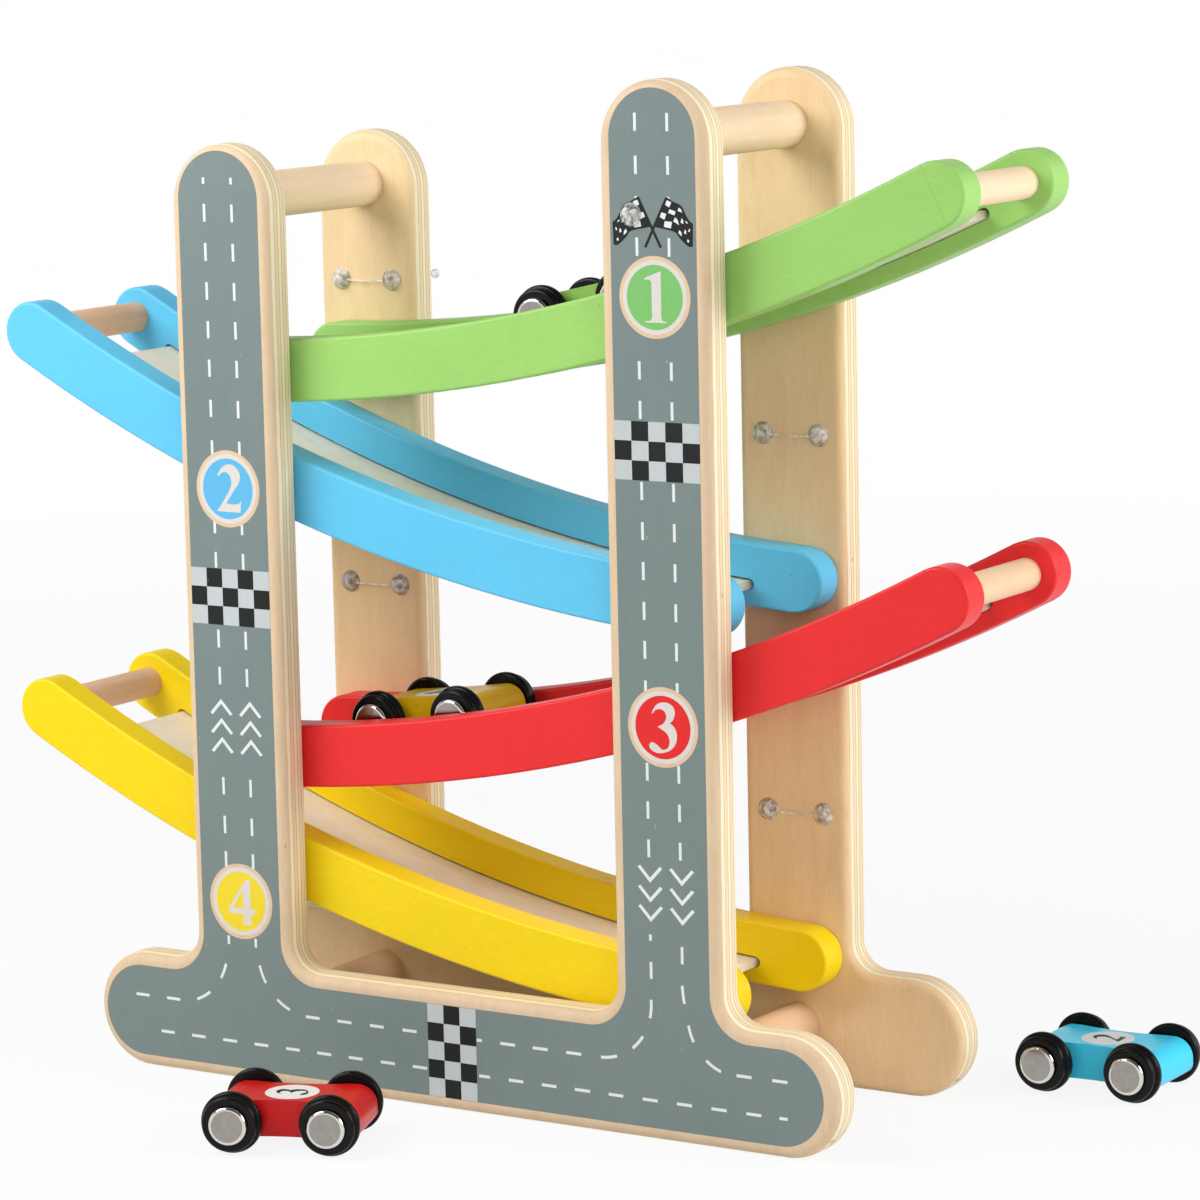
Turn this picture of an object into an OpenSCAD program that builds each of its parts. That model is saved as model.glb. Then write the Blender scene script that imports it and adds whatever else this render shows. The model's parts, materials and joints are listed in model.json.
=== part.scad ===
// Click clack track toy: two plywood side panels carry four curved ramps, one under the other.
// A car rolls down a ramp, drops off the end of its track and lands on the ramp below.
// X runs along the panels, Y from the front panel to the rear one, Z up.
// The origin is the middle of the front panel's underside.

/* [Panels] */
// Distance between the centre lines of the two towers
tower_spacing = 140; // [120:1:170]
// Width of a tower
tower_width = 33.4; // [28:0.1:38]
// Height of the left tower
left_tower_height = 264.7; // [250:0.1:300]
// Height of the right tower
right_tower_height = 283.1; // [265:0.1:320]
// Length of the base bar, from foot to foot
base_length = 244; // [235:1:270]
// Height of the base bar
base_height = 33.4; // [30:0.1:38]
// Thickness of the plywood
panel_thickness = 10.4; // [9:0.1:13]
// Clear width between the two panels
panel_gap = 60; // [58:0.5:80]
// Radius of the rounded-over panel edges
edge_round = 3; // [1:0.1:3.6]
// Radius of the inside corners between the towers and the base
corner_fillet = 8.4; // [5:0.1:12]

/* [Cross dowels] */
// Diameter of the dowels that tie the two panels together
cross_dowel_d = 13; // [8:0.1:16]
// Depth of the blind seat of a cross dowel in each panel
cross_dowel_seat = 5; // [3:0.1:7]
// Depth of the top dowels' centres below the tower tops
top_dowel_depth = 15.4; // [13:0.1:20]

/* [Ramps] */
// Radius of the middle line of the curved rails
ramp_radius = 518; // [440:1:640]
// Height of the green ramp's middle line at its low tower, as a share of the ramps' room
green_low_share = 0.7255; // [0.707:0.0001:0.74]
// Height of the green ramp's middle line at its high tower, as a share of the ramps' room
green_high_share = 0.8219; // [0.792:0.0001:0.852]
// Height of the blue ramp's middle line at its low tower, as a share of the ramps' room
blue_low_share = 0.4786; // [0.458:0.0001:0.491]
// Height of the blue ramp's middle line at its high tower, as a share of the ramps' room
blue_high_share = 0.6079; // [0.569:0.0001:0.611]
// Height of the red ramp's middle line at its low tower, as a share of the ramps' room
red_low_share = 0.2538; // [0.235:0.0001:0.268]
// Height of the red ramp's middle line at its high tower, as a share of the ramps' room
red_high_share = 0.3649; // [0.338:0.0001:0.371]
// Height of the yellow ramp's middle line at its low tower, as a share of the ramps' room
yellow_low_share = 0.0195; // [0.012:0.0001:0.045]
// Height of the yellow ramp's middle line at its high tower, as a share of the ramps' room
yellow_high_share = 0.1396; // [0.106:0.0001:0.148]
// Reach of a ramp past the tower at its high end
high_reach = 85.5; // [75:0.5:100]
// Reach of a ramp past the tower at its low end
low_reach = 14.5; // [10:0.1:16]
// Height of a rail
rail_height = 17.6; // [15:0.1:19]
// Thickness of a rail
rail_thickness = 9.8; // [9:0.1:11]
// Radius of the softened rail edges
rail_edge = 0.9; // [0.4:0.1:2]

/* [Tracks] */
// Thickness of the track strip that the cars roll on
track_thickness = 2.4; // [1.6:0.1:3]
// Depth of the rolling surface below the rails' middle line
track_drop = 1.6; // [0.8:0.1:2.4]
// Distance from the low tower's centre line in to the end of the track
track_low_inset = 8; // [4:0.1:20]
// Reach of the track past the high tower's centre line
track_high_reach = 64; // [50:0.1:66]
// Depth of the groove that holds the track in each rail
groove_depth = 3.2; // [2:0.1:3.6]
// Room above the strip in its groove
groove_slack = 0.6; // [0.2:0.1:1]

/* [Stop dowels and ramp pins] */
// Diameter of the stop dowel across the high end of a ramp
stop_dowel_d = 8.8; // [6:0.1:10]
// Depth of the blind seat of a stop dowel in each rail
stop_dowel_seat = 5; // [3:0.1:7]
// Diameter of the hidden pins that join the rails to the panels
ramp_pin_d = 6; // [4:0.1:8]
// Depth of a hidden pin in the rail and in the panel
ramp_pin_depth = 5; // [3:0.1:5.4]

/* [Ties] */
// Distance between the two studs of a clear tie
tie_spacing = 17.5; // [12:0.1:20]
// Height of the upper tie on the left tower, as a share of the ramps' room
left_upper_tie_share = 0.8141; // [0.784:0.0001:0.834]
// Height of the lower tie on the left tower, as a share of the ramps' room
left_lower_tie_share = 0.4306; // [0.338:0.0001:0.5]
// Height of the upper tie on the right tower, as a share of the ramps' room
right_upper_tie_share = 0.6468; // [0.565:0.0001:0.714]
// Height of the lower tie on the right tower, as a share of the ramps' room
right_lower_tie_share = 0.1907; // [0.115:0.0001:0.264]
// Height of the single stud on the front, as a share of the way from the green ramp to the top dowel
front_stud_share = 0.554; // [0.4:0.001:0.64]
// Distance of the front stud from the right tower's centre line
front_stud_offset = 6.6; // [2:0.1:9]
// Diameter of a stud's dome
stud_d = 6.4; // [5:0.1:8]
// Height of a stud's dome
stud_height = 2.4; // [1.6:0.1:3]
// Diameter of the filament between two studs
filament_d = 0.6; // [0.4:0.1:1.4]
// Sag of the filament
filament_sag = 0.4; // [0.3:0.1:3]

/* [Cars] */
// Length of a car body
car_length = 42; // [38:0.5:46]
// Width of a car body
car_width = 20.6; // [16:0.1:22]
// Height of a car body
car_height = 10; // [8:0.1:12]
// Height of a car body above the ground
car_clearance = 3.8; // [2:0.1:4.4]
// Radius of the upper edge of the nose and tail
car_nose_round = 5.6; // [3:0.1:6]
// Radius of the lower edge of the nose and tail
car_chin_round = 3; // [1:0.1:3.4]
// Depth of the waist in each side of a car
waist_depth = 1.5; // [0.5:0.1:3]
// Length of the waist
waist_length = 26; // [18:0.5:32]
// Distance between the two axles
wheelbase = 27; // [24:0.1:30]
// Diameter of a wheel
wheel_d = 16.8; // [14:0.1:17.6]
// Width of a wheel
wheel_width = 4.8; // [4:0.1:5.4]
// Width of the wheel's larger inner ring
tread_width = 2.5; // [1.8:0.1:3]
// Step down from the inner ring to the outer ring
wheel_step = 0.8; // [0.4:0.1:1.5]
// Radius of the wheel's rounded rims
wheel_edge = 0.9; // [0.4:0.1:1]
// Diameter of an axle
axle_d = 2.6; // [2:0.1:3.4]
// Diameter of a hub cap
cap_d = 10.6; // [7:0.1:11]
// Height of a hub cap
cap_height = 2.6; // [1.8:0.1:3]
// Depth of the wheel's recess under the hub cap
cap_recess = 1; // [0.5:0.1:1.4]
// Place of the green car along its track, from the low end
green_car_share = 0.464; // [0.2:0.001:0.8]
// Place of the yellow car along the red track, from the low end
yellow_car_share = 0.173; // [0.15:0.001:0.8]
// Sideways place of the ramp cars towards the rear rail, as a share of the room beside them
ramp_car_shift_share = 0.6; // [0:0.01:0.9]
// Place of the red car along the front of the toy
red_car_x = -20.7; // [-60:0.1:20]
// Distance of the red car's middle in front of the front panel
red_car_distance = 46; // [40:0.1:80]
// Heading of the red car, turned towards the panel
red_car_heading = 20.5; // [0:0.1:30]
// Place of the blue car along the back of the toy
blue_car_x = 148; // [120:0.5:180]
// Distance of the blue car's middle behind the rear panel
blue_car_distance = 25.6; // [22:0.1:60]

/* [Hidden] */
// Radial glue gap round a dowel, pin or stem in its seat
glue_gap = 0.05;
// Radial running clearance of an axle in a car body
axle_clearance = 0.05;
// Gap between a wheel and the track under it
rolling_gap = 0.3;
// Gap between a wheel and the side of the body
wheel_gap = 0.9;
// Side clearance of the track strip in its grooves, and below it
track_clearance = 0.2;
// Clearance of a hub cap in the wheel's recess
cap_clearance = 0.1;
// Depth of an axle's end in its hub cap
cap_socket = 1.2;
// Radius of a hub cap's rounded rim
cap_edge = 0.8;
// Radius of a hub cap's shallow dome
cap_dome_radius = 30;
// Diameter of a stud's stem through the panel
stem_d = 2.2;
// Diameter and height of the head behind a stud's stem
stem_head_d = 3.8;
stem_head_height = 1.6;
// Length of the loose tail behind the upper left tie, and diameter of its bead
tail_length = 12;
tail_bead_d = 2.8;
// Height of the filament above the panel's face
filament_height = 1.1;
// Easing of the round ends of a rail and of its groove below their curved parts
round_end_ease = 0.04;
// Overrun of every cut past the face it opens
overrun = 1;
// Facets of small and of large curves in a preview
$fn = 64;
sweep_fn = 1440;

panel_pitch = panel_gap + panel_thickness;
inner_face = panel_thickness / 2;
rear_inner_face = inner_face + panel_gap;
channel_start = inner_face + rail_thickness;
channel_width = panel_gap - 2 * rail_thickness;
middle_y = panel_pitch / 2;
left_tower_x = -tower_spacing / 2;
right_tower_x = tower_spacing / 2;
wheel_r = wheel_d / 2;
axle_r = axle_d / 2;

// Room for the ramps: the height of the lower tower above the base bar
ramp_room = min(left_tower_height, right_tower_height) - base_height;
function height_at(share) = base_height + share * ramp_room;

// A ramp is given by its heights at the low and the high tower, and by whether its low end is on the right
GREEN_RAMP = [height_at(green_low_share), height_at(green_high_share), false];
BLUE_RAMP = [height_at(blue_low_share), height_at(blue_high_share), true];
RED_RAMP = [height_at(red_low_share), height_at(red_high_share), false];
YELLOW_RAMP = [height_at(yellow_low_share), height_at(yellow_high_share), true];
RAMPS = [GREEN_RAMP, BLUE_RAMP, RED_RAMP, YELLOW_RAMP];

// Colours
BIRCH = "burlywood";
PALE_WOOD = "wheat";
DOWEL_WOOD = "bisque";
GREEN_PAINT = "yellowgreen";
BLUE_PAINT = "deepskyblue";
RED_PAINT = "crimson";
YELLOW_PAINT = "gold";
CLEAR = "gainsboro";
STEEL = "silver";
BLACK = "black";

// Rounded shapes shared by the panels and the rails

// A centred rectangle with round corners
module rounded_rectangle(width, height, radius) {
    square([width - 2 * radius, height], center = true);
    square([width, height - 2 * radius], center = true);
    for (x = [-1, 1], y = [-1, 1])
        translate([x * (width / 2 - radius), y * (height / 2 - radius)])
            circle(r = radius);
}

// A disc with its axis along Y and rounded rims
module rounded_disc(diameter, thickness, radius) {
    rotate([90, 0, 0])
        rotate_extrude()
            intersection() {
                rounded_rectangle(diameter, thickness, radius);
                translate([0, -thickness / 2])
                    square([diameter / 2, thickness]);
            }
}

// A hole along Y that starts at depth from_y
module hole_along_y(x, from_y, z, diameter, depth) {
    translate([x, from_y, z])
        rotate([-90, 0, 0])
            cylinder(d = diameter, h = depth);
}

// Ramp geometry: each rail is an arc through two given heights, with its centre high above
function ramp_rise(ramp) = ramp[1] - ramp[0];
function ramp_chord(ramp) = norm([tower_spacing, ramp_rise(ramp)]);
function ramp_centre_distance(ramp) = sqrt(pow(ramp_radius, 2) - pow(ramp_chord(ramp) / 2, 2));
function ramp_centre(ramp) = [
    -ramp_rise(ramp) / ramp_chord(ramp) * ramp_centre_distance(ramp),
    (ramp[0] + ramp[1]) / 2 + tower_spacing / ramp_chord(ramp) * ramp_centre_distance(ramp)
];
// Angle from straight below the centre to a place x on the middle line
function ramp_angle(ramp, x) = asin((x - ramp_centre(ramp)[0]) / ramp_radius);
// Place on the middle line at an angle
function ramp_place(ramp, angle) = [
    ramp_centre(ramp)[0] + ramp_radius * sin(angle),
    0,
    ramp_centre(ramp)[1] - ramp_radius * cos(angle)
];
function rail_low_angle(ramp) = ramp_angle(ramp, left_tower_x - low_reach + rail_height / 2);
function rail_high_angle(ramp) = ramp_angle(ramp, right_tower_x + high_reach - rail_height / 2);
function track_low_angle(ramp) = ramp_angle(ramp, left_tower_x + track_low_inset);
function track_high_angle(ramp) = ramp_angle(ramp, right_tower_x + track_high_reach);

// Height of the groove, and radii of its middle and of the track
groove_height = track_thickness + groove_slack + track_clearance;
track_top_radius = ramp_radius + track_drop;
groove_radius = track_top_radius - groove_slack + groove_height / 2;
track_middle_radius = track_top_radius + track_thickness / 2;
track_width = channel_width + 2 * (groove_depth - track_clearance);

// Puts a ramp built with its low end on the left where it belongs
module on_ramp_side(ramp) {
    if (ramp[2])
        mirror([1, 0, 0])
            children();
    else
        children();
}

// Sweeps a profile of radius and depth along a ramp, between two angles
module ramp_sweep(ramp, from_angle, to_angle) {
    centre = ramp_centre(ramp);
    translate([centre[0], 0, centre[1]])
        rotate([-90, 0, 0])
            rotate([0, 0, 90 - to_angle])
                rotate_extrude(angle = to_angle - from_angle, $fn = sweep_fn)
                    children();
}

// A bore along Y, centred on a radius and an angle of a ramp
module ramp_bore(ramp, radius, angle, from_y, diameter, depth) {
    centre = ramp_centre(ramp);
    hole_along_y(centre[0] + radius * sin(angle), from_y, centre[1] - radius * cos(angle), diameter, depth);
}

// Panels: two towers on a base bar, all edges rounded over

module panel_bar(length, width) {
    linear_extrude(length)
        rounded_rectangle(width, panel_thickness, edge_round);
}

module panel_tower(x, height) {
    bar_start = base_height / 2;
    round_centre = height - tower_width / 2;
    translate([x, 0, bar_start])
        panel_bar(round_centre - bar_start, tower_width);
    translate([x, 0, round_centre])
        rounded_disc(tower_width, panel_thickness, edge_round);
}

module panel_base() {
    bar_length = base_length - base_height;
    translate([-bar_length / 2, 0, base_height / 2])
        rotate([0, 90, 0])
            panel_bar(bar_length, base_height);
    for (x = [-bar_length / 2, bar_length / 2])
        translate([x, 0, base_height / 2])
            rounded_disc(base_height, panel_thickness, edge_round);
}

// The hollow corner between a tower and the base, for a corner at the origin
module panel_corner() {
    block = corner_fillet + edge_round;
    lip = block + edge_round;
    difference() {
        translate([-edge_round, -panel_thickness / 2, -edge_round])
            cube([block, panel_thickness, block]);
        translate([corner_fillet, 0, corner_fillet])
            rotate([90, 0, 0])
                rotate_extrude()
                    difference() {
                        translate([0, -panel_thickness / 2 - overrun])
                            square([block, panel_thickness + 2 * overrun]);
                        translate([corner_fillet + lip / 2, 0])
                            rounded_rectangle(lip, panel_thickness, edge_round);
                    }
    }
}

module panel_blank() {
    panel_base();
    panel_tower(left_tower_x, left_tower_height);
    panel_tower(right_tower_x, right_tower_height);
    for (x = [left_tower_x, right_tower_x], side = [0, 1])
        translate([x, 0, base_height])
            mirror([side, 0, 0])
                translate([tower_width / 2, 0, 0])
                    panel_corner();
}

// Places of the four cross dowels, on the tower tops and the base
CROSS_DOWELS = [
    [left_tower_x, left_tower_height - top_dowel_depth],
    [right_tower_x, right_tower_height - top_dowel_depth],
    [left_tower_x, base_height / 2],
    [right_tower_x, base_height / 2]
];

// Places of the ramp pins: every ramp is pinned on its middle line at both towers
RAMP_PINS = [
    for (ramp = RAMPS, high_end = [0, 1])
        [(ramp[2] ? -1 : 1) * (high_end == 0 ? left_tower_x : right_tower_x), ramp[high_end]]
];

// Blind seats for the dowels and the pins, in the panel's inner face
module panel_seats() {
    for (place = CROSS_DOWELS)
        hole_along_y(place[0], inner_face - cross_dowel_seat, place[1],
            cross_dowel_d + 2 * glue_gap, cross_dowel_seat + overrun);
    for (place = RAMP_PINS)
        hole_along_y(place[0], inner_face - ramp_pin_depth, place[1],
            ramp_pin_d + 2 * glue_gap, ramp_pin_depth + overrun);
}

module stem_hole(x, z) {
    hole_along_y(x, -inner_face - overrun, z, stem_d + 2 * glue_gap, panel_thickness + 2 * overrun);
}

// The four ties, with the tail that the upper left one leaves behind the panel
TIES = [
    [left_tower_x, height_at(left_upper_tie_share), tail_length],
    [left_tower_x, height_at(left_lower_tie_share), 0],
    [right_tower_x, height_at(right_upper_tie_share), 0],
    [right_tower_x, height_at(right_lower_tie_share), 0]
];
front_stud_x = right_tower_x - front_stud_offset;
front_stud_z = GREEN_RAMP[1] + front_stud_share * (CROSS_DOWELS[1][1] - GREEN_RAMP[1]);

module front_panel() {
    color(BIRCH)
        difference() {
            panel_blank();
            panel_seats();
            stem_hole(front_stud_x, front_stud_z);
        }
}

module rear_panel() {
    color(BIRCH)
        translate([0, panel_pitch, 0])
            mirror([0, 1, 0])
                difference() {
                    panel_blank();
                    panel_seats();
                    for (tie = TIES, side = [-1, 1])
                        stem_hole(tie[0] + side * tie_spacing / 2, tie[1]);
                }
}

// Cross dowels, glued into both panels

module cross_dowel(place) {
    color(DOWEL_WOOD)
        hole_along_y(place[0], inner_face - cross_dowel_seat, place[1],
            cross_dowel_d, panel_gap + 2 * cross_dowel_seat);
}

module top_dowel_left() {
    cross_dowel(CROSS_DOWELS[0]);
}

module top_dowel_right() {
    cross_dowel(CROSS_DOWELS[1]);
}

module base_dowel_left() {
    cross_dowel(CROSS_DOWELS[2]);
}

module base_dowel_right() {
    cross_dowel(CROSS_DOWELS[3]);
}

// Rails: built as the front one, with the outer face on the front panel's inner face

module rail_blank(ramp) {
    rail_middle_y = inner_face + rail_thickness / 2;
    low_angle = rail_low_angle(ramp);
    high_angle = rail_high_angle(ramp);
    ramp_sweep(ramp, low_angle, high_angle)
        translate([ramp_radius, rail_middle_y])
            rounded_rectangle(rail_height, rail_thickness, rail_edge);
    for (angle = [low_angle, high_angle])
        translate(ramp_place(ramp, angle))
            translate([0, rail_middle_y, 0])
                rounded_disc(rail_height - 2 * round_end_ease, rail_thickness - 2 * round_end_ease, rail_edge);
}

// The slot with round ends that holds one edge of the track
module track_groove(ramp) {
    groove_floor = channel_start - groove_depth;
    cut_depth = groove_depth + overrun;
    low_angle = track_low_angle(ramp);
    high_angle = track_high_angle(ramp);
    ramp_sweep(ramp, low_angle, high_angle)
        translate([groove_radius - groove_height / 2, groove_floor])
            square([groove_height, cut_depth]);
    for (angle = [low_angle, high_angle])
        ramp_bore(ramp, groove_radius, angle, groove_floor + round_end_ease,
            groove_height - 2 * round_end_ease, cut_depth);
}

module rail(ramp) {
    difference() {
        rail_blank(ramp);
        track_groove(ramp);
        ramp_bore(ramp, ramp_radius, rail_high_angle(ramp), channel_start - stop_dowel_seat,
            stop_dowel_d + 2 * glue_gap, stop_dowel_seat + overrun);
        for (x = [left_tower_x, right_tower_x])
            ramp_bore(ramp, ramp_radius, ramp_angle(ramp, x), inner_face - overrun,
                ramp_pin_d + 2 * glue_gap, ramp_pin_depth + overrun);
    }
}

module front_rail(ramp, paint) {
    color(paint)
        on_ramp_side(ramp)
            rail(ramp);
}

module rear_rail(ramp, paint) {
    color(paint)
        translate([0, panel_pitch, 0])
            mirror([0, 1, 0])
                on_ramp_side(ramp)
                    rail(ramp);
}

// Track strip, bent to the rails' curve, with its edges in the grooves
module track(ramp) {
    color(PALE_WOOD)
        on_ramp_side(ramp)
            ramp_sweep(ramp, track_low_angle(ramp), track_high_angle(ramp))
                translate([track_top_radius, middle_y - track_width / 2])
                    square([track_thickness, track_width]);
}

// Stop dowel, on the centre of the rails' round high ends
module stop_dowel(ramp) {
    color(DOWEL_WOOD)
        on_ramp_side(ramp)
            ramp_bore(ramp, ramp_radius, rail_high_angle(ramp), channel_start - stop_dowel_seat,
                stop_dowel_d, channel_width + 2 * stop_dowel_seat);
}

module green_front_rail() {
    front_rail(GREEN_RAMP, GREEN_PAINT);
}

module green_rear_rail() {
    rear_rail(GREEN_RAMP, GREEN_PAINT);
}

module green_track() {
    track(GREEN_RAMP);
}

module green_stop_dowel() {
    stop_dowel(GREEN_RAMP);
}

module blue_front_rail() {
    front_rail(BLUE_RAMP, BLUE_PAINT);
}

module blue_rear_rail() {
    rear_rail(BLUE_RAMP, BLUE_PAINT);
}

module blue_track() {
    track(BLUE_RAMP);
}

module blue_stop_dowel() {
    stop_dowel(BLUE_RAMP);
}

module red_front_rail() {
    front_rail(RED_RAMP, RED_PAINT);
}

module red_rear_rail() {
    rear_rail(RED_RAMP, RED_PAINT);
}

module red_track() {
    track(RED_RAMP);
}

module red_stop_dowel() {
    stop_dowel(RED_RAMP);
}

module yellow_front_rail() {
    front_rail(YELLOW_RAMP, YELLOW_PAINT);
}

module yellow_rear_rail() {
    rear_rail(YELLOW_RAMP, YELLOW_PAINT);
}

module yellow_track() {
    track(YELLOW_RAMP);
}

module yellow_stop_dowel() {
    stop_dowel(YELLOW_RAMP);
}

// Hidden pins, half in the panel and half in the rail
module ramp_pins(from_y) {
    color(DOWEL_WOOD)
        for (place = RAMP_PINS)
            hole_along_y(place[0], from_y, place[1], ramp_pin_d, 2 * ramp_pin_depth);
}

module front_ramp_pins() {
    ramp_pins(inner_face - ramp_pin_depth);
}

module rear_ramp_pins() {
    ramp_pins(rear_inner_face - ramp_pin_depth);
}

// Clear ties: domed studs with a stem through the panel, moulded in one with their filament

// A stud that stands on a panel's face at the origin, with its dome towards -Y
module tie_stud(tail) {
    dome_radius = (pow(stud_d / 2, 2) + pow(stud_height, 2)) / (2 * stud_height);
    stem_end = panel_thickness + glue_gap;
    rotate([90, 0, 0]) {
        rotate_extrude()
            intersection() {
                translate([0, stud_height - dome_radius])
                    circle(r = dome_radius);
                square([stud_d / 2, stud_height]);
            }
        translate([0, 0, -stem_end])
            cylinder(d = stem_d, h = stem_end);
        translate([0, 0, -stem_end - stem_head_height])
            cylinder(d = stem_head_d, h = stem_head_height);
        if (tail > 0) {
            translate([0, 0, -stem_end - tail])
                cylinder(d = filament_d, h = tail);
            translate([0, 0, -stem_end - tail])
                sphere(d = tail_bead_d);
        }
    }
}

// The filament, a shallow arc between two studs
module tie_filament() {
    arc_radius = (pow(tie_spacing / 2, 2) + pow(filament_sag, 2)) / (2 * filament_sag);
    half_angle = asin(tie_spacing / 2 / arc_radius);
    translate([0, -filament_height, arc_radius - filament_sag])
        rotate([-90, 0, 0])
            rotate([0, 0, 90 - half_angle])
                rotate_extrude(angle = 2 * half_angle)
                    translate([arc_radius, 0])
                        circle(d = filament_d);
}

module rear_ties() {
    color(CLEAR)
        for (tie = TIES)
            translate([tie[0], rear_inner_face, tie[1]]) {
                translate([-tie_spacing / 2, 0, 0])
                    tie_stud(0);
                translate([tie_spacing / 2, 0, 0])
                    tie_stud(tie[2]);
                tie_filament();
            }
}

module front_tie_stud() {
    color(CLEAR)
        translate([front_stud_x, -inner_face, front_stud_z])
            tie_stud(0);
}

// Cars: built on the ground at the origin, nose towards +X

// Side view of a body, with a round nose and tail
module car_side_view() {
    half = car_length / 2;
    shoulder = car_height - car_nose_round;
    translate([-half + car_nose_round, car_chin_round])
        square([car_length - 2 * car_nose_round, car_height - car_chin_round]);
    translate([-half, car_chin_round])
        square([car_length, shoulder - car_chin_round]);
    translate([-half + car_chin_round, 0])
        square([car_length - 2 * car_chin_round, shoulder]);
    for (side = [0, 1])
        mirror([side, 0]) {
            translate([half - car_nose_round, shoulder])
                intersection() {
                    circle(r = car_nose_round);
                    square(car_nose_round);
                }
            translate([half - car_chin_round, car_chin_round])
                circle(r = car_chin_round);
        }
}

module car_body() {
    waist_radius = (pow(waist_length / 2, 2) + pow(waist_depth, 2)) / (2 * waist_depth);
    bore_d = axle_d + 2 * axle_clearance;
    difference() {
        translate([0, 0, car_clearance])
            rotate([90, 0, 0])
                linear_extrude(car_width, center = true)
                    car_side_view();
        for (side = [-1, 1]) {
            translate([0, side * (car_width / 2 - waist_depth + waist_radius), car_clearance - overrun])
                cylinder(r = waist_radius, h = car_height + 2 * overrun, $fn = sweep_fn);
            hole_along_y(side * wheelbase / 2, -car_width / 2 - overrun, wheel_r,
                bore_d, car_width + 2 * overrun);
        }
    }
}

// Puts a wheel or cap, drawn outwards along Z, on both ends of an axle at the origin
module on_both_sides(distance) {
    for (side = [0, 1])
        mirror([0, side, 0])
            translate([0, distance, 0])
                rotate([-90, 0, 0])
                    children();
}

wheel_place = car_width / 2 + wheel_gap;
cap_place = wheel_place + wheel_width - cap_recess;
ramp_car_shift = ramp_car_shift_share * (channel_width / 2 - cap_place - cap_height);

// Half section of one ring of a wheel, from the axis out to its rounded rim
module ring_section(radius, width) {
    intersection() {
        translate([0, width / 2])
            rounded_rectangle(2 * radius, width, wheel_edge);
        square([radius, width]);
    }
}

module wheel() {
    outer_ring_width = wheel_width - tread_width + wheel_edge;
    recess_r = cap_d / 2 + cap_clearance;
    rotate_extrude()
        difference() {
            union() {
                ring_section(wheel_r, tread_width);
                translate([0, wheel_width - outer_ring_width])
                    ring_section(wheel_r - wheel_step, outer_ring_width);
            }
            translate([0, -overrun])
                square([axle_r + glue_gap, wheel_width + 2 * overrun]);
            translate([0, wheel_width - cap_recess])
                square([recess_r, cap_recess + overrun]);
        }
}

module hub_cap() {
    rim = cap_d / 2 - cap_edge;
    rotate_extrude()
        difference() {
            intersection() {
                union() {
                    square([rim, cap_height]);
                    square([cap_d / 2, cap_height - cap_edge]);
                    translate([rim, cap_height - cap_edge])
                        circle(r = cap_edge);
                }
                translate([0, cap_height - cap_dome_radius])
                    circle(r = cap_dome_radius, $fn = sweep_fn);
                square([cap_d / 2, cap_height]);
            }
            translate([0, -overrun])
                square([axle_r + glue_gap, cap_socket + overrun]);
        }
}

// Moves a part of an axle's set from the origin to the front (1) or rear (-1) axle
module at_axle(end) {
    translate([end * wheelbase / 2, 0, wheel_r])
        children();
}

module axle(end) {
    half_length = cap_place + cap_socket;
    color(STEEL)
        at_axle(end)
            hole_along_y(0, -half_length, 0, axle_d, 2 * half_length);
}

module wheel_pair(end) {
    color(BLACK)
        at_axle(end)
            on_both_sides(wheel_place)
                wheel();
}

module cap_pair(end) {
    color(STEEL)
        at_axle(end)
            on_both_sides(cap_place)
                hub_cap();
}

// Stands a car on a ramp's track, nose downhill, at a share of the track's length from its low end
module on_track(ramp, share) {
    centre = ramp_centre(ramp);
    low_angle = track_low_angle(ramp);
    angle = low_angle + share * (track_high_angle(ramp) - low_angle);
    axle_path = track_top_radius - wheel_r - rolling_gap;
    axle_drop = sqrt(pow(axle_path, 2) - pow(wheelbase / 2, 2));
    translate([centre[0], middle_y + ramp_car_shift, centre[1]])
        rotate([0, -angle, 0])
            translate([0, 0, -axle_drop - wheel_r])
                rotate([0, 0, 180])
                    children();
}

module place_green_car() {
    on_track(GREEN_RAMP, green_car_share)
        children();
}

module place_yellow_car() {
    on_track(RED_RAMP, yellow_car_share)
        children();
}

module place_red_car() {
    translate([red_car_x, -inner_face - red_car_distance, 0])
        rotate([0, 0, red_car_heading])
            children();
}

module place_blue_car() {
    translate([blue_car_x, rear_inner_face + panel_thickness + blue_car_distance, 0])
        children();
}

module green_car_body() {
    color(GREEN_PAINT)
        place_green_car()
            car_body();
}

module green_car_front_axle() {
    place_green_car()
        axle(1);
}

module green_car_front_wheels() {
    place_green_car()
        wheel_pair(1);
}

module green_car_front_caps() {
    place_green_car()
        cap_pair(1);
}

module green_car_rear_axle() {
    place_green_car()
        axle(-1);
}

module green_car_rear_wheels() {
    place_green_car()
        wheel_pair(-1);
}

module green_car_rear_caps() {
    place_green_car()
        cap_pair(-1);
}

module yellow_car_body() {
    color(YELLOW_PAINT)
        place_yellow_car()
            car_body();
}

module yellow_car_front_axle() {
    place_yellow_car()
        axle(1);
}

module yellow_car_front_wheels() {
    place_yellow_car()
        wheel_pair(1);
}

module yellow_car_front_caps() {
    place_yellow_car()
        cap_pair(1);
}

module yellow_car_rear_axle() {
    place_yellow_car()
        axle(-1);
}

module yellow_car_rear_wheels() {
    place_yellow_car()
        wheel_pair(-1);
}

module yellow_car_rear_caps() {
    place_yellow_car()
        cap_pair(-1);
}

module red_car_body() {
    color(RED_PAINT)
        place_red_car()
            car_body();
}

module red_car_front_axle() {
    place_red_car()
        axle(1);
}

module red_car_front_wheels() {
    place_red_car()
        wheel_pair(1);
}

module red_car_front_caps() {
    place_red_car()
        cap_pair(1);
}

module red_car_rear_axle() {
    place_red_car()
        axle(-1);
}

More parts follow.
